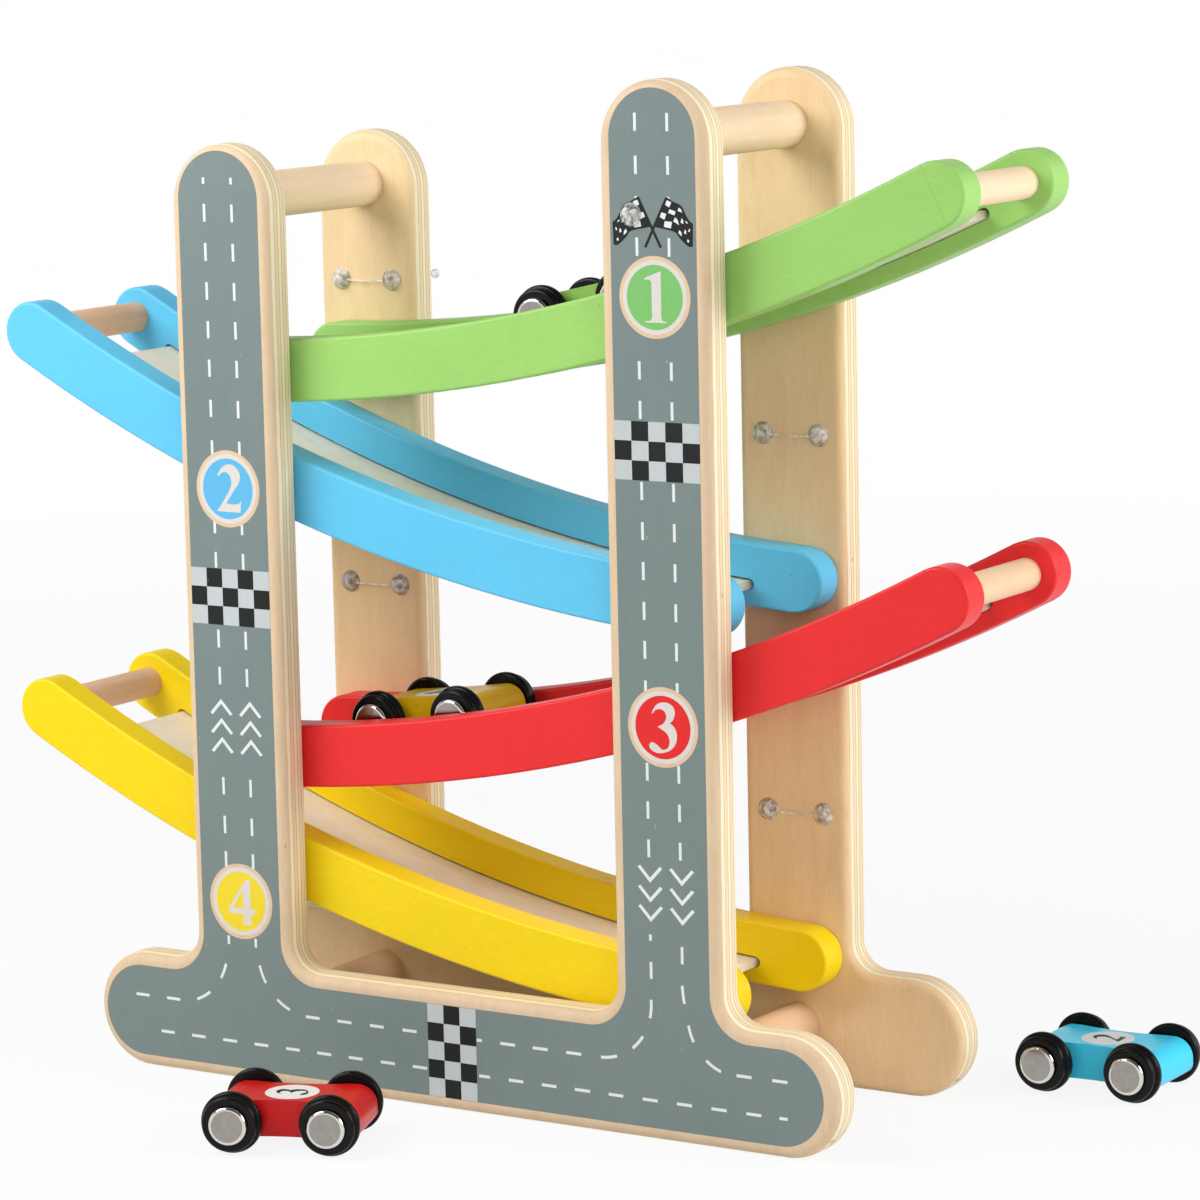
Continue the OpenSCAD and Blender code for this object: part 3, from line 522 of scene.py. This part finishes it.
# The numerals' outlines, in millimetres from the roundel's centre; a third entry marks a sharp corner.
numerals = {
    1: (
        ((-3.1, 4.6, 1), (-3.1, 5.0, 1), (1.6, 6.75, 1), (1.95, 6.75, 1), (1.95, -5.4, 1), (2.3, -6.0),
         (3.5, -6.25, 1), (3.5, -6.6, 1), (-3.0, -6.6, 1), (-3.0, -6.25, 1), (-1.4, -6.0), (-0.9, -5.4, 1),
         (-0.9, 3.9, 1), (-1.3, 4.45)),
    ),
    2: (
        ((-3.5, 3.6, 1), (-2.5, 5.2), (-1.1, 6.4), (0.4, 6.9), (2.2, 6.6), (3.7, 5.35), (4.35, 3.7),
         (3.9, 1.9), (2.6, 0.2), (1.1, -1.7), (-0.7, -4.15, 1), (3.0, -4.15), (3.9, -3.8), (4.6, -2.95, 1),
         (4.1, -6.45, 1), (-3.9, -6.4, 1), (-2.25, -4.3), (-0.9, -2.5), (0.4, -0.6), (1.3, 1.5), (1.2, 2.85),
         (0.5, 4.1), (-0.6, 4.7), (-2.0, 4.4), (-2.95, 3.55, 1)),
    ),
    3: (
        ((-3.4, 3.4, 1), (-2.95, 4.45), (-2.1, 5.7), (-0.9, 6.5), (0.5, 6.75), (2.2, 6.5), (3.3, 5.7),
         (3.8, 4.4), (3.6, 3.2), (2.9, 1.9), (2.2, 1.3, 1), (3.3, 0.55), (4.1, -0.7), (4.3, -2.1),
         (4.0, -3.75), (3.0, -5.3), (1.5, -6.3), (-0.6, -6.9), (-2.5, -6.8), (-3.8, -6.1), (-4.3, -5.3),
         (-4.1, -4.6), (-3.4, -4.2), (-2.4, -4.45), (-1.15, -5.35), (-0.2, -5.95), (0.8, -5.8), (1.7, -5.0),
         (2.0, -3.9), (1.8, -2.5), (0.9, -1.25), (-0.2, -0.6), (-1.65, 0.1, 1), (-0.7, 0.55), (0.2, 1.1),
         (0.9, 2.1), (1.1, 3.2), (0.7, 4.2), (-0.2, 4.8), (-1.3, 4.85), (-2.3, 4.45), (-2.95, 3.75)),
    ),
    4: (
        ((1.9, 6.5, 1), (3.3, 6.5, 1), (3.3, -1.9, 1), (4.8, -1.9, 1), (4.6, -3.6, 1), (3.3, -3.6, 1),
         (3.3, -6.7, 1), (0.7, -6.7, 1), (0.7, -3.6, 1), (-4.2, -3.6, 1), (-4.2, -2.1, 1)),
        ((-2.9, -1.9, 1), (0.7, -1.9, 1), (0.7, 3.4, 1)),
    ),
}


def disc(centre, radius):
    """A flat disc."""
    shape = bmesh.new()
    place = Matrix.Translation((*centre, 0))
    bmesh.ops.create_circle(shape, cap_ends=True, segments=disc_sides, radius=radius, matrix=place)
    return shape


def outlined(name, outlines):
    """Closed outlines, filled: smooth where a point has two entries, sharp where it has three."""
    drawing = bpy.data.curves.new(name, "CURVE")
    drawing.dimensions = "2D"
    drawing.fill_mode = "FRONT"
    drawing.resolution_u = curve_steps
    for outline in outlines:
        line = drawing.splines.new("BEZIER")
        line.use_cyclic_u = True
        line.bezier_points.add(len(outline) - 1)
        for knot, point in zip(line.bezier_points, outline):
            knot.co = (point[0], point[1], 0)
            knot.handle_left_type = knot.handle_right_type = "VECTOR" if len(point) == 3 else "AUTO"
    holder = bpy.data.objects.new(name, drawing)
    scene.collection.objects.link(holder)
    flat = bpy.data.meshes.new_from_object(holder.evaluated_get(bpy.context.evaluated_depsgraph_get()))
    shape = bmesh.new()
    shape.from_mesh(flat)
    bpy.data.objects.remove(holder)
    bpy.data.curves.remove(drawing)
    bpy.data.meshes.remove(flat)
    bmesh.ops.remove_doubles(shape, verts=shape.verts[:], dist=merge_gap)
    return shape


for number, (centre, colour, deep, pale) in roundels.items():
    roundel_ink = printing_ink(f"{colour}_roundel_ink", deep, pale)
    printed(disc(centre, roundel_bare), f"{colour}_roundel_bare_ring", bare_level, front_birch)
    printed(disc(centre, roundel_white), f"{colour}_roundel_white_ring", white_level, cream_white)
    printed(disc(centre, roundel_disc), f"{colour}_roundel_disc", disc_level, roundel_ink)
    figure = outlined(f"{colour}_numeral", numerals[number])
    bmesh.ops.translate(figure, verts=figure.verts[:], vec=(*centre, 0))
    printed(figure, f"{colour}_numeral", numeral_level, cream_white)


# Crossed flags
# Two small chequered flags cross above the first number. The left one is the right one
# mirrored and printed over it, in black ink with the white squares on top.
flags_middle = 69.95
pole_level, cloth_level, squares_level, left_flag_rise = 3, 3.5, 4.5, 0.25
flag_cloth = (
    (74.45, 252.65, 1), (76.45, 251.5), (78.25, 250.8), (79.2, 249.85), (80.05, 248.2), (81.0, 246.8),
    (82.15, 245.95, 1), (81.95, 240.1, 1), (81.0, 240.0), (79.8, 240.7), (78.1, 242.2), (76.85, 243.6),
    (75.05, 244.15), (73.4, 244.45), (70.3, 245.0, 1),
)
flag_squares = (
    ((74.4, 251.9), (75.8, 251.4), (75.1, 250.05), (73.9, 250.7)),
    ((75.2, 249.6), (77.0, 249.05), (76.65, 248.05), (74.75, 248.65)),
    ((78.0, 250.1), (78.7, 249.6), (79.0, 248.8), (77.6, 249.2)),
    ((72.75, 248.75), (74.2, 248.35), (73.6, 246.85), (72.2, 247.55)),
    ((73.65, 246.45), (75.9, 246.35), (75.5, 244.65), (73.4, 245.0)),
    ((76.8, 247.55), (77.55, 246.95), (78.0, 245.55), (76.3, 246.5)),
    ((78.75, 247.35), (79.25, 246.8), (79.3, 245.9), (78.5, 246.2)),
    ((80.05, 246.7), (80.7, 246.1), (80.5, 245.95), (79.95, 246.3)),
    ((78.1, 244.3), (78.7, 243.6), (78.75, 242.65), (77.7, 243.5)),
    ((79.7, 244.45), (80.1, 244.0), (80.05, 243.2), (79.4, 243.5)),
    ((81.1, 244.75), (81.3, 244.45), (81.1, 243.85), (80.65, 243.95)),
    ((80.55, 242.0), (81.0, 241.55), (80.8, 241.05), (80.25, 241.35)),
)
pole_foot, pole_head, pole_width = Vector((67.6, 239.6)), Vector((74.3, 252.6)), 0.72
pole = pole_head - pole_foot
pole_place = (
    Matrix.Translation((*((pole_head + pole_foot) / 2), 0))
    @ Matrix.Rotation(-math.atan2(pole.x, pole.y), 4, "Z")
    @ Matrix.Diagonal((pole_width, pole.length, 1, 1))
)
about_middle = Matrix.Translation((-flags_middle, 0, 0))

for side, rise in (("right", 0), ("left", left_flag_rise)):
    cloth = outlined(f"{side}_flag", (flag_cloth,))
    rod = bmesh.new()
    bmesh.ops.create_grid(rod, x_segments=1, y_segments=1, size=0.5, matrix=pole_place)
    squares = bmesh.new()
    for corners in flag_squares:
        squares.faces.new([squares.verts.new((*corner, 0)) for corner in corners])
    if side == "left":
        for shape in (rod, cloth, squares):
            bmesh.ops.scale(shape, verts=shape.verts[:], vec=(-1, 1, 1), space=about_middle)
    printed(rod, f"{side}_flag_pole", pole_level + rise, print_black)
    printed(cloth, f"{side}_flag_cloth", cloth_level + rise, print_black)
    printed(squares, f"{side}_flag_squares", squares_level + rise, road_white)


# Cross dowels
# Four turned beech rods, 13 mm thick, are glued into blind holes and hold the panels apart.
# Beech is pinkish and even, with short dark ray flecks along the rod. The lower two take a warmer, deeper
# beech that stands in for the shade they sit in: painted shade.
ray_darkening = (0.86, 0.80, 0.74)
along_x, along_y = 0, 1


def grain_along(axis, along, across):
    """Marks per millimetre for wood whose grain runs along this axis."""
    return tuple(along if place == axis else across for place in range(3))


def beech(name, axis, deep, pale):
    """Beech with its grain along this axis, between a deep and a pale tone."""
    material, tree, shader = start_finish(name)
    spot = in_millimetres(tree)
    drawn_out, short = grain_along(axis, 0.02, 0.35), grain_along(axis, 0.45, 3.0)
    figure = streaks(tree, spot, stretch=drawn_out, detail=4.0, roughness=0.6, wander=0.3)
    ray = streaks(tree, spot, stretch=short, detail=2.0, roughness=0.5)
    wood = mix_colours(tree, ranged(tree, figure, span=(0.33, 0.67), to=(0, 1)), deep, pale)
    dark = tuple(tone * share for tone, share in zip(deep, ray_darkening)) + (1,)
    wood = mix_colours(tree, ranged(tree, ray, span=(0.56, 0.76), to=(0, 0.40)), wood, dark)
    roughness = ranged(tree, ray, span=(0.3, 0.7), to=(0.48, 0.60))
    feed(tree, shader, {"Base Color": wood, "Roughness": roughness, "Specular IOR Level": wood_shine})
    raise_grain(tree, shader, ray, strength=0.05)
    return material


dowel_beech = beech("dowel_beech", along_y, deep=(0.845, 0.635, 0.420, 1), pale=(0.900, 0.700, 0.475, 1))
# A warmer, deeper beech: on the base dowels it is painted shade; the red ramp's stop rod takes it too.
warm_beech_and_painted_shade = beech("warm_beech_and_painted_shade", along_y, deep=(0.800, 0.530, 0.335, 1), pale=(0.855, 0.585, 0.380, 1))
dress(dowel_beech, "top_dowel_left", "top_dowel_right")
dress(warm_beech_and_painted_shade, "base_dowel_left", "base_dowel_right")


# Ramps
# Each ramp is two curved rails with a thin board between them and a beech rod across the high
# end. The rails are sprayed in one colour: satin paint, with the wood's grain faintly raised.
ramp_colours = {
    "green": (0.325, 0.610, 0.150),
    "blue": (0.120, 0.545, 0.830),
    "red": (0.800, 0.026, 0.028),
    "yellow": (0.900, 0.660, 0.003),
}
# The paint runs between a deep and a pale tone, which are shares of its colour, and chips are darker.
deep_share, pale_share, chip_share = 0.955, 1.035, 0.45
pale_lift, palest = 0.001, 0.95
paint_shine = 0.25


def satin_paint(name, colour, roughness=(0.35, 0.47)):
    """Sprayed paint of this colour, mottled, with a few chips and its roughness between two limits."""
    material, tree, shader = start_finish(name)
    spot = in_millimetres(tree)
    grain = streaks(tree, spot, stretch=(0.40, 1.1, 1.1), detail=4.0, roughness=0.6)
    mottle = streaks(tree, spot, stretch=(0.035, 0.06, 0.06), detail=3.0, roughness=0.5)
    tone = two_grains(tree, grain, mottle, fine_share=0.55)
    deep = tuple(part * deep_share for part in colour) + (1,)
    pale = tuple(min(part * pale_share + pale_lift, palest) for part in colour) + (1,)
    dark = tuple(part * chip_share for part in colour) + (1,)
    paint = mix_colours(tree, ranged(tree, tone, span=(0.34, 0.66), to=(0, 1)), deep, pale)
    chip = streaks(tree, spot, stretch=(0.42, 0.42, 0.42), detail=1.0, roughness=0.3)
    paint = mix_colours(tree, ranged(tree, chip, span=(0.81, 0.82), to=(0, 0.4)), paint, dark)
    satin = ranged(tree, mottle, span=(0.3, 0.7), to=roughness)
    feed(tree, shader, {"Base Color": paint, "Roughness": satin, "Specular IOR Level": paint_shine})
    raise_grain(tree, shader, tone, strength=0.035)
    return material


# The stop rods on the left, for the blue and yellow ramps, take a browner beech: partly the wood's own
# variation, partly painted shade for the less lit left side.
brown_beech_and_painted_shade = beech("brown_beech_and_painted_shade", along_y, deep=(0.705, 0.443, 0.283, 1), pale=(0.790, 0.520, 0.340, 1))
track_board = beech("track_board", along_x, deep=(0.84, 0.755, 0.60, 1), pale=(0.91, 0.84, 0.70, 1))
stop_beech = {"green": dowel_beech, "blue": brown_beech_and_painted_shade, "red": warm_beech_and_painted_shade, "yellow": brown_beech_and_painted_shade}
for colour, shade in ramp_colours.items():
    dress(satin_paint(f"{colour}_ramp_paint", shade), f"{colour}_front_rail", f"{colour}_rear_rail")
    dress(track_board, f"{colour}_track")
    dress(stop_beech[colour], f"{colour}_stop_dowel")
dress(dowel_beech, "front_ramp_pins", "rear_ramp_pins")


# Ties
# Pairs of domed studs of clear plastic, moulded in one with the thread between them, have their
# stems through the rear panel, and one more stud sits on the front. They are a little cloudy.
milk_grey, milk_white = (0.80, 0.77, 0.73, 1), (1.00, 0.99, 0.97, 1)
plastic_refraction, facet_height = 1.53, 0.0012

clear_plastic, tree, shader = start_finish("clear_tie_plastic")
spot = in_millimetres(tree)
cloud = streaks(tree, spot, stretch=(0.55, 0.55, 0.55), detail=2.0, roughness=0.5)
facet = streaks(tree, spot, stretch=(0.65, 0.65, 0.65), detail=1.0, roughness=0.4)
milk = mix_colours(tree, ranged(tree, facet, span=(0.40, 0.58), to=(0, 1)), milk_grey, milk_white)
feed(tree, shader, {
    "Base Color": milk,
    "Alpha": ranged(tree, cloud, span=(0.38, 0.62), to=(0.20, 0.72)),
    "Roughness": ranged(tree, cloud, span=(0.3, 0.7), to=(0.05, 0.16)),
    "IOR": plastic_refraction,
})
raise_grain(tree, shader, facet, strength=0.8, distance=facet_height)
dress(clear_plastic, "rear_ties", "front_tie_stud")


# Cars
# Four little racing cars, each a block of wood with a rounded nose and tail and a pinched
# waist, sprayed in the glossier paint of its colour, with a number on a white roof disc.
car_colours = {
    "green": (0.320, 0.590, 0.120),
    "yellow": (0.740, 0.440, 0.004),
    "red": (0.590, 0.006, 0.007),
    "blue": (0.050, 0.650, 0.945),
}
car_numbers = {"green": 1, "yellow": 4, "red": 3, "blue": 2}
car_roughness = (0.25, 0.37)
car_ends = ("front", "rear")
axle_joints = {joint["name"]: joint for joint in frame["joints"] if joint["name"].endswith("_spin")}
roof_above_axles = 5.4
roof_disc, roof_numeral_share = 7.35, 0.66
roof_disc_level, roof_numeral_level = 1, 2
roof = Matrix.Translation((0, 0, roof_above_axles)) @ Matrix.Rotation(quarter_turn, 4, "Z")


def on_car(colour):
    """The place midway between a car's axles, with X to its nose and Z upwards, in millimetres."""
    front, rear = (Vector(axle_joints[f"{colour}_car_{end}_spin"]["pos_m"]) for end in car_ends)
    ahead = (front - rear).normalized()
    left = Vector((0, 0, 1)).cross(ahead).normalized()
    axes = Matrix((ahead, left, ahead.cross(left))).transposed().to_4x4()
    return Matrix.Translation((front + rear) / 2) @ axes @ Matrix.Scale(millimetre, 4)


for colour, shade in car_colours.items():
    dress(satin_paint(f"{colour}_car_paint", shade, car_roughness), f"{colour}_car_body")
    on_roof = on_car(colour) @ roof
    plate = disc((0, 0), roof_disc)
    thicken(plate, roof_disc_level)
    finished_piece(
        plate, f"{colour}_car_roof_disc", on_roof, f"{colour}_car", f"{colour}_car_paint", road_white
    )
    figure = outlined(f"{colour}_car_number", numerals[car_numbers[colour]])
    bmesh.ops.scale(figure, verts=figure.verts[:], vec=(roof_numeral_share, roof_numeral_share, 1))
    thicken(figure, roof_numeral_level)
    finished_piece(
        figure, f"{colour}_car_number", on_roof, f"{colour}_car", f"{colour}_car_paint", print_black
    )


# Wheels and axles
# Moulded black wheels turn with a steel axle through the body. The black is smooth and satin,
# with the faintest scuffs, and the axle is plain drawn steel.
deep_black, scuffed_black = (0.004, 0.004, 0.004, 1), (0.007, 0.007, 0.007, 1)
wheel_shine = 0.15

wheel_black, tree, shader = start_finish("wheel_black")
scuff = streaks(tree, in_millimetres(tree), stretch=(1.6, 1.6, 1.6), detail=4.0, roughness=0.65)
scuffed = ranged(tree, scuff, span=(0.35, 0.70), to=(0, 1))
feed(tree, shader, {
    "Base Color": mix_colours(tree, scuffed, deep_black, scuffed_black),
    "Roughness": ranged(tree, scuff, span=(0.3, 0.7), to=(0.17, 0.25)),
    "Specular IOR Level": wheel_shine,
})
raise_grain(tree, shader, scuff, strength=0.015)


def bright_metal(name, deep, pale, roughness):
    """Bare metal between a deep and a pale tone, with its roughness from clear to hazy."""
    material, tree, shader = start_finish(name)
    haze = streaks(tree, in_millimetres(tree), stretch=(0.5, 0.5, 0.5), detail=4.0, roughness=0.6)
    hazy = ranged(tree, haze, span=(0.3, 0.7), to=(0, 1))
    feed(tree, shader, {
        "Base Color": mix_colours(tree, hazy, deep, pale),
        "Roughness": ranged(tree, haze, span=(0.3, 0.7), to=roughness),
        "Metallic": 1.0,
    })
    return material


axle_steel = bright_metal(
    "axle_steel", deep=(0.40, 0.39, 0.38, 1), pale=(0.52, 0.51, 0.50, 1), roughness=(0.25, 0.40)
)
for colour in car_colours:
    for end in car_ends:
        dress(wheel_black, f"{colour}_car_{end}_wheels")
        dress(axle_steel, f"{colour}_car_{end}_axle")


# Hub caps
# Each wheelset carries a chrome cap on either outside: a short drum with its outer edge rolled
# over to a bright rim and its hazy face bulged a little. The face's chrome is made much darker than the
# rim's, a painted reflection of dark surroundings on a warm plated tone. They stand for the plainer solid
# caps.
cap_radius, cap_depth, cap_roll, cap_bulge = 5.3, 2.6, 0.95, 0.10
cap_reach, cap_sides, roll_steps = 17.6, 64, 6
# The rim takes the second of the caps' two finishes.
rim_finish = 1
# The face's dark warm grey is partly the plated steel's own tone, partly a painted reflection of dark
# surroundings.
cap_face_chrome_painted_dark_reflection = bright_metal(
    "cap_face_chrome_painted_dark_reflection", deep=(0.31, 0.285, 0.26, 1), pale=(0.37, 0.345, 0.32, 1), roughness=(0.10, 0.18)
)
cap_rim_chrome = bright_metal(
    "cap_rim_chrome", deep=(0.64, 0.62, 0.59, 1), pale=(0.72, 0.70, 0.67, 1), roughness=(0.05, 0.10)
)


def rolled_cap(shape, turn):
    """One cap at an end of the axle, which lies along Z here; turn is 0 or half a turn."""
    place = Matrix.Rotation(turn, 4, "X") @ Matrix.Translation((0, 0, cap_reach - cap_depth / 2))
    made = bmesh.ops.create_cone(
        shape, cap_ends=True, segments=cap_sides, radius1=cap_radius, radius2=cap_radius,
        depth=cap_depth, matrix=place,
    )["verts"]
    outer = {vert for vert in made if abs(vert.co.z) > cap_reach - same_spot}
    rim = [edge for edge in shape.edges if outer.issuperset(edge.verts)]
    rolled = bmesh.ops.bevel(
        shape, geom=rim, offset=cap_roll, offset_type="OFFSET", affect="EDGES",
        segments=roll_steps, profile=0.5, material=-1,
    )["faces"]
    for face in rolled:
        face.material_index = rim_finish
    flat = [face for face in shape.faces if abs(face.calc_center_median().z) > cap_reach - same_spot]
    bmesh.ops.poke(shape, faces=[face for face in flat if len(face.verts) == cap_sides], offset=cap_bulge)


for colour in car_colours:
    for end in car_ends:
        low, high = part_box(f"{colour}_car_{end}_caps")
        axle = axle_joints[f"{colour}_car_{end}_spin"]["axis"]
        along_axle = (
            Matrix.Translation((low + high) / 2)
            @ Matrix.Rotation(math.atan2(-axle[0], axle[1]), 4, "Z")
            @ Matrix.Rotation(quarter_turn, 4, "X")
            @ Matrix.Scale(millimetre, 4)
        )
        caps = bmesh.new()
        for turn in (0.0, math.pi):
            rolled_cap(caps, turn)
        for face in caps.faces:
            face.smooth = True
        pair = finished_piece(
            caps, f"{colour}_car_{end}_rolled_caps", along_axle, f"{colour}_car_{end}_wheelset", "cap_chrome",
            cap_face_chrome_painted_dark_reflection, cap_rim_chrome,
        )
        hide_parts(f"{colour}_car_{end}_caps")
